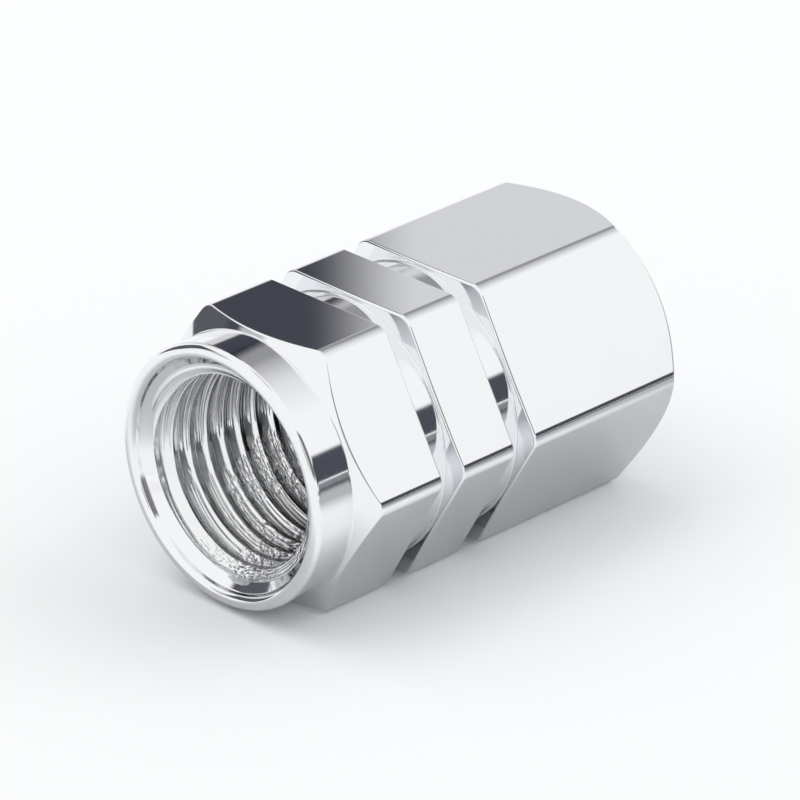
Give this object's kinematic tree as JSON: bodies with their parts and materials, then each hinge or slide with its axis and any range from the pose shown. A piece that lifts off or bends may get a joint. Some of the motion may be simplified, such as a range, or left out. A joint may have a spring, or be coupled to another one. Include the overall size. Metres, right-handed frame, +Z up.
{
  "type": "tyre valve cap",
  "caption": "Hexagonal metal cap for a tyre valve stem, with an internal thread, a round collar, ring grooves and a sealing washer inside.",
  "frame": {"origin": "on the surface that the cap lies on, below the middle of its length", "axes": "+Y along the cap's axis towards the closed end, so the mouth faces -Y; +Z up, square to the hexagon flat that the cap rests on"},
  "size_m": [0.0114, 0.0176, 0.01],
  "materials": {
    "plated_metal": "polished and bright plated",
    "seal_rubber": "matt black"
  },
  "bodies": {
    "root": {"cap_body": "plated_metal", "sealing_washer": "seal_rubber"}
  },
  "joints": []
}
